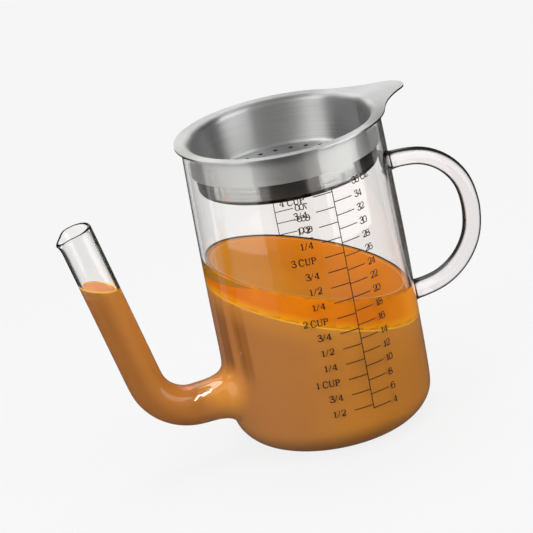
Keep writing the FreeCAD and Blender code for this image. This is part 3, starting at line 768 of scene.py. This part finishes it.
def gravy_material():
    """Pan gravy: an opaque brown emulsion, dull under the glass, with pale smears and darker streaks down the
    wall by the spout, and a bright line of fat where the layers meet. It has a painted highlight at the
    spout's root and painted light on the right side of the spout's gravy."""
    material, tree = new_material("pan_gravy")
    place = add(tree, "TexCoord").outputs["Object"]
    normal = add(tree, "NewGeometry").outputs["Normal"]
    x = add(tree, "SeparateXYZ", {0: place}).outputs["X"]
    cloud = add(tree, "TexNoise", {
        "Vector": place, "Scale": 1 / (26 * MM), "Detail": 3.0, "Roughness": 0.55})
    in_leg = add(tree, "MapRange", {"Value": x, "From Min": -66 * MM, "From Max": -72 * MM}, **SMOOTH)
    both = add(tree, "Mix", {
        "Factor": in_leg, "A": jug_gravy(tree, place, cloud), "B": spout_gravy(tree, normal)}, **RGB)
    colour = ringed_gravy(tree, place, normal, x, in_leg, both)

    grain = add(tree, "TexNoise", {"Vector": place, "Scale": 1 / (1.2 * MM), "Detail": 2.0})
    bump = add(tree, "Bump", {"Height": grain, "Strength": 0.05, "Distance": 0.1 * MM})
    rough = add(tree, "MapRange", {
        "Value": cloud, "From Min": 0.3, "From Max": 0.7, "To Min": 0.38, "To Max": 0.5}, **SMOOTH)
    shader = add(tree, "BsdfPrincipled", {
        "Base Color": colour, "Roughness": rough, "IOR": 1.34, "Specular IOR Level": 0.2, "Normal": bump})
    add(tree, "OutputMaterial", {"Surface": shader})
    return material


# ---------------------------------------------------------------- fat
# radius of the painted highlight ring on the fat's top, and the height above which the fat's side turns
# olive, mm
HIGHLIGHT_RING_RADIUS = 45.9
HIGH_SIDE = 92.2


def fat_side(tree, place, x, z):
    """Colour of the fat seen through the wall: orange, yellower on the right and in its lowest 5 mm over the
    gravy, and olive above a height on its high side."""
    cloud = add(tree, "TexNoise", {
        "Vector": place, "Scale": 1 / (30 * MM), "Detail": 2.0, "Roughness": 0.5})
    depth = add(tree, "MapRange", {"Value": cloud, "From Min": 0.35, "From Max": 0.65}, **SMOOTH)
    body = add(tree, "Mix", {"Factor": depth, "A": linear("#E88412"), "B": linear("#DC760F")}, **RGB)
    right = add(tree, "MapRange", {
        "Value": x, "From Min": 15 * MM, "From Max": 45 * MM, "To Max": 0.8}, **SMOOTH)
    warmed = add(tree, "Mix", {"Factor": right, "A": body, "B": linear("#FFA80E")}, **RGB)
    over_foot = height_above(tree, place, FAT_FOOT)
    thin = add(tree, "MapRange", {
        "Value": over_foot, "From Min": 5 * MM, "From Max": 0.0, "To Max": 0.75}, **SMOOTH)
    side = add(tree, "Mix", {"Factor": thin, "A": warmed, "B": linear("#F8AE16")}, **RGB)
    high = add(tree, "MapRange", {
        "Value": z, "From Min": HIGH_SIDE * MM, "From Max": (HIGH_SIDE + 0.6) * MM, "To Max": 0.8}, **SMOOTH)
    return add(tree, "Mix", {"Factor": high, "A": side, "B": linear("#9C7626")}, **RGB)


def fat_surface(tree, x, y):
    """Colour of the fat's top, with a painted highlight in a pale ring and a darker band of painted shade
    where it climbs the glass, and a thin dark edge of painted shade along its far side."""
    radius = add(tree, "VectorMath", {0: add(tree, "CombineXYZ", {0: x, 1: y})}, operation="LENGTH")
    yellower = add(tree, "MapRange", {"Value": x, "From Min": 12 * MM, "From Max": -40 * MM}, **SMOOTH)
    surface = add(tree, "Mix", {"Factor": yellower, "A": linear("#F88C0C"), "B": linear("#FFA422")}, **RGB)
    # painted shade: a darker band where the surface climbs the glass
    painted_climb_shade = add(tree, "MapRange", {
        "Value": radius, "From Min": 45.8 * MM, "From Max": 46.3 * MM, "To Max": 0.6}, **SMOOTH)
    banded = add(tree, "Mix", {"Factor": painted_climb_shade, "A": surface, "B": linear("#DE8212")}, **RGB)
    # painted highlight: a pale ring where the surface bends up to the glass
    from_ring = add(tree, "Math", {0: radius, 1: HIGHLIGHT_RING_RADIUS * MM, 2: 0.35 * MM}, operation="COMPARE")
    ring = add(tree, "Math", {0: from_ring, 1: 0.45}, **TIMES)
    ringed = add(tree, "Mix", {"Factor": ring, "A": banded, "B": linear("#FFDCA0")}, **RGB)
    # painted shade: a thin dark edge along the far side
    far_side = add(tree, "MapRange", {"Value": y, "From Min": -15 * MM, "From Max": 10 * MM}, **SMOOTH)
    edge = add(tree, "MapRange", {"Value": radius, "From Min": 47.9 * MM, "From Max": 48.3 * MM}, **SMOOTH)
    painted_far_shade = add(tree, "Math", {0: edge, 1: far_side}, **TIMES)
    return add(tree, "Mix", {"Factor": painted_far_shade, "A": ringed, "B": linear("#3A2A1C")}, **RGB)


def fat_material():
    """Rendered fat: clear orange oil with a glossy top, yellower low on its side, with a painted highlight
    and painted shade at the edges of its top.
    """
    material, tree = new_material("rendered_fat")
    place = add(tree, "TexCoord").outputs["Object"]
    x, y, z = add(tree, "SeparateXYZ", {0: place}).outputs
    under_top = height_above(tree, place, FAT_TOP)
    on_top = add(tree, "MapRange", {
        "Value": under_top, "From Min": -1.3 * MM, "From Max": -1.0 * MM}, **SMOOTH)
    colour = add(tree, "Mix", {
        "Factor": on_top, "A": fat_side(tree, place, x, z), "B": fat_surface(tree, x, y)}, **RGB)
    shader = add(tree, "BsdfPrincipled", {
        "Base Color": colour, "Roughness": 0.05, "IOR": 1.46, "Specular IOR Level": 0.06,
        "Transmission Weight": 0.03})
    add(tree, "OutputMaterial", {"Surface": let_lamps_through(tree, shader)})
    return material


# ---------------------------------------------------------------- steel and print
# how much the basket's wall widens for its height, and the roughness of its bright outside
WALL_TAPER = 0.0582
POLISHED = 0.2


def polished_outside(tree, z, radius):
    """1 on the outside of the basket's wall below the flange, which the drawing left bright, and 0
    on its inside and the flange, which were brushed."""
    slope = add(tree, "Math", {0: z, 1: -WALL_TAPER, 2: radius}, operation="MULTIPLY_ADD")
    outer = add(tree, "MapRange", {"Value": slope, "From Min": 36.2 * MM, "From Max": 36.4 * MM}, **SMOOTH)
    lower = add(tree, "MapRange", {"Value": z, "From Min": 154 * MM, "From Max": 153.5 * MM}, **SMOOTH)
    return add(tree, "Math", {0: outer, 1: lower}, **TIMES)


def dark_places(tree, z, radius):
    """1 on the walls of the punched holes and on the underside, which only faces what the jug holds, else 0.
    Both get a near-black painted shade."""
    over = add(tree, "Math", {0: z, 1: (FLOOR_HEIGHT - SHEET + 0.03) * MM}, operation="GREATER_THAN")
    under = add(tree, "Math", {0: z, 1: (FLOOR_HEIGHT - 0.03) * MM}, operation="LESS_THAN")
    inner = add(tree, "Math", {0: radius, 1: HOLES_REACH * MM}, operation="LESS_THAN")
    in_sheet = add(tree, "Math", {0: over, 1: under}, **TIMES)
    in_hole = add(tree, "Math", {0: in_sheet, 1: inner}, **TIMES)
    down = add(tree, "SeparateXYZ", {0: add(tree, "NewGeometry").outputs["Normal"]}).outputs["Z"]
    underside = add(tree, "MapRange", {"Value": down, "From Min": -0.05, "From Max": -0.3}, **SMOOTH)
    return add(tree, "Math", {0: in_hole, 1: underside}, operation="MAXIMUM")


def stainless(name, colour, rough, spread, polished_wall):
    """Stainless sheet, brushed round its axis: a soft grey sheen that spreads across the lines.
    Real brushing has a pitch of about 0.1 mm. It is drawn at 0.35 mm so that it shows."""
    material, tree = new_material(name)
    place = add(tree, "TexCoord").outputs["Object"]
    x, y, z = add(tree, "SeparateXYZ", {0: place}).outputs
    radius = add(tree, "VectorMath", {0: add(tree, "CombineXYZ", {0: x, 1: y})}, operation="LENGTH")
    # the height and the radius both grow up the wall and out over the rolled edge and the flange
    across = add(tree, "Math", {0: z, 1: radius}, operation="ADD")
    flat = add(tree, "CombineXYZ", {0: x, 1: y, 2: across})
    drawn = add(tree, "VectorMath", {0: flat, 1: (1 / (45 * MM), 1 / (45 * MM), 1 / (0.35 * MM))}, **TIMES)
    lines = add(tree, "TexNoise", {"Vector": drawn, "Scale": 1.0, "Detail": 2.0, "Roughness": 0.6})
    roughness = add(tree, "MapRange", {
        "Value": lines, "From Min": 0.3, "From Max": 0.7, "To Min": rough - 0.04,
        "To Max": rough + 0.06}, **SMOOTH)
    bump = add(tree, "Bump", {"Height": lines, "Strength": 0.06, "Distance": 0.02 * MM})
    light = add(tree, "MapRange", {"Value": lines, "From Min": 0.3, "From Max": 0.7}, **SMOOTH)
    sheet = add(tree, "Mix", {"Factor": light, "A": linear(colour), "B": linear("#CBCCCB")}, **RGB)
    if polished_wall:
        outside = polished_outside(tree, z, radius)
        roughness = add(tree, "Mix", {"Factor": outside, "A": roughness, "B": POLISHED})
        # painted shade: near-black on the hole walls and on the underside
        painted_shade = dark_places(tree, z, radius)
        sheet = add(tree, "Mix", {"Factor": painted_shade, "A": sheet, "B": linear("#1C1B1A")}, **RGB)
    shader = add(tree, "BsdfPrincipled", {
        "Base Color": sheet, "Metallic": 1.0, "Roughness": roughness, "Anisotropic": spread,
        "Anisotropic Rotation": 0.25, "Tangent": add(tree, "Tangent", direction_type="RADIAL", axis="Z"),
        "Normal": bump})
    add(tree, "OutputMaterial", {"Surface": shader})
    return material


def enamel_material():
    """Fired ceramic ink: near-black brown, half matt, a touch thinner here and there."""
    material, tree = new_material("fired_enamel_ink")
    place = add(tree, "TexCoord").outputs["Object"]
    wear = add(tree, "TexNoise", {"Vector": place, "Scale": 1 / (1.5 * MM), "Detail": 2.0})
    thin = add(tree, "MapRange", {"Value": wear, "From Min": 0.4, "From Max": 0.7}, **SMOOTH)
    colour = add(tree, "Mix", {"Factor": thin, "A": linear("#150F0C"), "B": linear("#2A1F1A")}, **RGB)
    rough = add(tree, "MapRange", {
        "Value": wear, "From Min": 0.3, "From Max": 0.7, "To Min": 0.4, "To Max": 0.55}, **SMOOTH)
    shader = add(tree, "BsdfPrincipled", {
        "Base Color": colour, "Roughness": rough, "Specular IOR Level": 0.3})
    add(tree, "OutputMaterial", {"Surface": shader})
    return material


# ---------------------------------------------------------------- pieces
def finished(node, material):
    """Give a node of the frame its finish."""
    nodes[node].data.materials.clear()
    nodes[node].data.materials.append(material)


# each glass: its tone, where its painted dark edge line starts and is full, the line's colour, the side where
# the painted shade widens it and by how much, and the liquid that hides the line
wall_glass = clear_glass(
    "blown_borosilicate_glass", "#FEFDFC", (0.78, 0.90), "#2A241E", RIGHT_SIDE, 0.17, FAT_TOP)
tube_glass = clear_glass(
    "drawn_tube_borosilicate_glass", "#FDFCFB", (0.44, 0.49), "#030302", RIGHT_SIDE, 0.0, SPOUT_TOP)
rod_glass = clear_glass(
    "drawn_rod_borosilicate_glass", "#F6F1F0", (0.36, 0.55), "#020202", UPPER_LEFT, 0.26)
glasses = [wall_glass, tube_glass, rod_glass, inner_glass()]
jug = piece("fused_glass_jug", glass_jug(), glasses, "jug")
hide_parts("jug_body", "spout_tube", "handle_rod")

piece("gravy", gravy(), [gravy_material()], "jug")
piece("floating_fat", fat(), [fat_material()], "jug")

ink = enamel_material()
for name, words, turn in (
        ("cup_numbers", words_on_left(CUPS, CUP_SCALE, 4.6), FRONT_LINE),
        ("ounce_numbers", words_on_right(OUNCES, OUNCE_SCALE, 2.0), FRONT_LINE),
        ("millilitre_numbers", words_on_left(MILLILITRES, MILLILITRE_SCALE, 1.2), BACK_LINE)):
    piece(name, print_words(words, turn), [ink], "jug", smooth=False)
for node in ("cup_scale", "ounce_scale", "millilitre_scale"):
    finished(node, ink)

finished("strainer_basket", stainless("brushed_stainless_sheet", "#BDBEBD", 0.38, 0.95, True))
finished("locating_collar", stainless("satin_stainless_band", "#C4C5C4", 0.50, 0.5, False))


# ---------------------------------------------------------------- floor, cards, lamps and camera
PALE = linear("#F6F6F6")
# metres from the middle of the jug to the curved cards
CARD_REACH = 0.26


def seen(tree):
    """1 for the camera's own rays and for what it sees mirrored or through glass, else 0."""
    path = add(tree, "LightPath")
    both = add(tree, "Math", {0: path.outputs["Is Camera Ray"], 1: path.outputs["Is Glossy Ray"]},
               operation="MAXIMUM")
    return add(tree, "Math", {0: both, 1: path.outputs["Is Transmission Ray"]}, operation="MAXIMUM")


def mirrored(tree, behind):
    """1 for rays that a glossy surface has turned back on their way from the camera, else 0. Those
    that only ran round inside a glass wall, and left it toward what is behind, don't count."""
    path = add(tree, "LightPath")
    turned = add(tree, "Math", {0: path.outputs["Glossy Depth"], 1: 0.5}, operation="GREATER_THAN")
    through = add(tree, "Math", {0: path.outputs["Transmission Depth"], 1: 2.0, 2: 0.5}, operation="COMPARE")
    round_wall = add(tree, "Math", {0: through, 1: behind}, **TIMES)
    return add(tree, "Math", {0: turned, 1: round_wall, 2: 0.0}, operation="SUBTRACT", use_clamp=True)


def pale_room():
    """An even pale room. Shiny surfaces mirror it darker, as the far walls of a studio are."""
    world = bpy.data.worlds.new("pale_room")
    world.use_nodes = True
    tree = world.node_tree
    tree.nodes.clear()
    plain = add(tree, "Background", {"Color": PALE, "Strength": 1.0})
    dim = add(tree, "Background", {"Color": PALE, "Strength": 0.2})
    lit = add(tree, "Background", {"Color": linear("#F4F4F4"), "Strength": 0.65})
    direction = add(tree, "TexCoord").outputs["Generated"]
    y = add(tree, "SeparateXYZ", {0: direction}).outputs["Y"]
    away = add(tree, "Math", {0: y, 1: 0.2}, operation="GREATER_THAN")
    shown = add(tree, "MixShader", {0: mirrored(tree, away), 1: plain, 2: dim})
    room = add(tree, "MixShader", {0: seen(tree), 1: lit, 2: shown})
    add(tree, "OutputWorld", {"Surface": room})
    return world


bpy.context.scene.world = pale_room()


def stage_object(name, bm, material):
    """A mesh of the studio, which isn't part of the object."""
    mesh = bpy.data.meshes.new(name)
    bm.to_mesh(mesh)
    bm.free()
    mesh.materials.append(material)
    obj = bpy.data.objects.new(name, mesh)
    bpy.context.collection.objects.link(obj)
    return obj


def floor_material():
    """Seamless pale floor that keeps a soft shadow near what stands on it."""
    material, tree = new_material("pale_floor")
    place = add(tree, "TexCoord").outputs["Object"]
    far = add(tree, "VectorMath", {0: place}, operation="LENGTH")
    plain = add(tree, "Emission", {"Color": PALE, "Strength": 1.0})
    matt = add(tree, "BsdfDiffuse", {"Color": linear("#F4F4F4")})
    share = add(tree, "MapRange", {
        "Value": far, "From Min": 0.1, "From Max": 0.4, "To Min": 0.9, "To Max": 1.0}, **SMOOTH)
    shown = add(tree, "MixShader", {0: share, 1: matt, 2: plain})
    dim = add(tree, "Emission", {"Color": PALE, "Strength": 0.1})
    unmirrored = add(tree, "MixShader", {0: seen(tree), 1: matt, 2: shown})
    y = add(tree, "SeparateXYZ", {0: place}).outputs["Y"]
    behind = add(tree, "Math", {0: y, 1: 0.05}, operation="GREATER_THAN")
    surface = add(tree, "MixShader", {0: mirrored(tree, behind), 1: unmirrored, 2: dim})
    add(tree, "OutputMaterial", {"Surface": surface})
    return material


ground = bmesh.new()
bmesh.ops.create_circle(ground, cap_ends=True, segments=64, radius=6.0)
bmesh.ops.translate(ground, vec=(0, 0, -0.0002), verts=ground.verts)
stage_object("floor", ground, floor_material())


def card_object(name, bm, shade, strength, behind, nearest=0.0):
    """A card that glows in mirrored light only. Behind is 1 where it stands beyond the object.
    A hood keeps its light off what is nearer than the nearest distance."""
    material, tree = new_material(name)
    glow = add(tree, "Emission", {"Color": linear(shade), "Strength": strength})
    length = add(tree, "LightPath").outputs["Ray Length"]
    far_off = add(tree, "Math", {0: length, 1: nearest}, operation="GREATER_THAN")
    shown = add(tree, "Math", {0: mirrored(tree, behind), 1: far_off}, **TIMES)
    surface = add(tree, "MixShader", {0: shown, 1: add(tree, "BsdfTransparent"), 2: glow})
    add(tree, "OutputMaterial", {"Surface": surface})
    obj = stage_object(name, bm, material)
    obj.visible_camera = obj.visible_diffuse = obj.visible_shadow = False


def card(name, start, end, low, high, shade, strength=1.0):
    """A curved card that stands round the object, seen only in mirrored light. It runs from start
    to end degrees round from the front, positive to the right, and from low to high metres."""
    bm = bmesh.new()
    first = math.radians(start - 90)
    x = CARD_REACH * math.cos(first)
    y = CARD_REACH * math.sin(first)
    verts = [bm.verts.new((x, y, z)) for z in (low, high)]
    edge = bm.edges.new(verts)
    sweep = math.radians(end - start)
    bmesh.ops.spin(bm, geom=[*verts, edge], cent=(0, 0, 0), axis=UP, angle=sweep, steps=12)
    middle = math.radians((start + end) / 2)
    behind = 1.0 if math.cos(middle) < 0 else 0.0
    card_object(name, bm, shade, strength, behind)


def panel(name, centre, aim, wide, tall, shade, strength, nearest):
    """A flat card that faces a point, seen only in mirrored light."""
    bm = bmesh.new()
    bmesh.ops.create_grid(bm, x_segments=1, y_segments=1, size=0.5)
    bmesh.ops.scale(bm, vec=(wide, tall, 1), verts=bm.verts)
    turn = (Vector(aim) - Vector(centre)).to_track_quat("-Z", "Y").to_matrix()
    bmesh.ops.rotate(bm, cent=(0, 0, 0), matrix=turn, verts=bm.verts)
    bmesh.ops.translate(bm, vec=centre, verts=bm.verts)
    card_object(name, bm, shade, strength, 0.0, nearest)


card("front_card", -40, 3, 0.0, 0.26, "#0C0C0B")
card("front_left_card", -52, -40, 0.045, 0.26, "#8A8A88")
card("front_right_card", 3, 18, 0.045, 0.26, "#B4B4B2")
card("left_low_card", -124, -52, 0.0, 0.042, "#FFFFFF", 0.4)
card("left_card", -114, -52, 0.042, 0.22, "#FFFFFF", 1.3)
card("left_dark_card", -124, -114, 0.042, 0.22, "#1C1C1B")
card("right_card", 18, 66, 0.04, 0.22, "#FFFFFF", 2.0)
card("right_dark_card", 66, 84, 0.04, 0.22, "#1C1C1B")
card("high_left_card", -84, -52, 0.22, 0.4, "#FFFFFF", 0.9)
card("high_right_card", 24, 72, 0.22, 0.4, "#FFFFFF", 2.8)
card("left_shade_card", -124, -84, 0.22, 0.4, "#1C1C1B")
card("right_shade_card", 72, 84, 0.22, 0.4, "#1C1C1B")
card("right_back_card", 84, 138, 0.0, 0.4, "#1C1C1B")
card("back_card", 138, 190, 0.0, 0.2, "#6A6A68")
card("left_back_card", 190, 236, 0.0, 0.2, "#1C1C1B")
card("high_back_card", 138, 173, 0.215, 0.33, "#FFFFFF", 1.3)
card("window_card", 173, 190, 0.205, 0.33, "#FFFDF8", 1.7)
card("beside_window_card", 190, 225, 0.215, 0.33, "#FFFFFF", 0.2)
card("top_back_card", 138, 225, 0.33, 0.5, "#FFFFFF", 2.2)
card("high_front_card", -52, 20, 0.27, 0.5, "#F6F6F6")

# a window overhead and a strip light, mirrored in the spout's elbow
ELBOW = (-0.066, 0.0, 0.038)
panel("overhead_panel", (-0.056, 0.01, 0.29), ELBOW, 0.14, 0.16, "#FFFFFF", 8.0, 0.2)
panel("strip_panel", (-0.016, -0.147, 0.252), ELBOW, 0.018, 0.155, "#FFFFFF", 34.0, 0.26)


def lamp(name, place, aim, wide, tall, power):
    """A soft box that faces a point."""
    light = bpy.data.lights.new(name, "AREA")
    light.shape = "RECTANGLE"
    light.size = wide
    light.size_y = tall
    light.energy = power
    obj = bpy.data.objects.new(name, light)
    bpy.context.collection.objects.link(obj)
    obj.location = place
    obj.rotation_mode = "QUATERNION"
    obj.rotation_quaternion = (Vector(aim) - Vector(place)).to_track_quat("-Z", "Y")
    return obj


MIDDLE = (0, 0, 0.09)
lamp("left_box", (-1.3, -0.7, 0.9), MIDDLE, 0.7, 0.9, 11)
lamp("right_box", (1.2, -0.8, 0.7), MIDDLE, 0.5, 0.9, 6)
top_box = lamp("top_box", (0.1, 0.3, 1.5), MIDDLE, 0.9, 0.7, 9)
top_box.visible_glossy = False

# the camera stands off the jug's middle, turned to the left, raised, and rolled on its axis. The
# sideways shares of the distance put the jug where it stands in the frame.
AZIMUTH = math.radians(-14.4)
ELEVATION = math.radians(19.937)
ROLL = math.radians(11.456)
DISTANCE = 1.2773
AIM = Vector((0, 0, 0.07846))
RIGHT_SHARE = 0.016326
UP_SHARE = 0.003446

camera = bpy.data.cameras.new("camera")
camera.sensor_width = 36
camera.lens = 173.57
camera.clip_start = 0.05
camera.clip_end = 50
view = bpy.data.objects.new("camera", camera)
bpy.context.collection.objects.link(view)
bpy.context.scene.camera = view
flat_share = math.cos(ELEVATION)
back = Vector((math.sin(AZIMUTH) * flat_share, -math.cos(AZIMUTH) * flat_share, math.sin(ELEVATION)))
level_right = (-back).cross(UP).normalized()
level_up = level_right.cross(-back)
right = level_right * math.cos(ROLL) - level_up * math.sin(ROLL)
up = level_right * math.sin(ROLL) + level_up * math.cos(ROLL)
place = AIM + DISTANCE * (back - right * RIGHT_SHARE + up * UP_SHARE)
view.matrix_world = Matrix((
    (right.x, up.x, back.x, place.x),
    (right.y, up.y, back.y, place.y),
    (right.z, up.z, back.z, place.z),
    (0, 0, 0, 1)))

bpy.context.scene.view_settings.view_transform = "Standard"
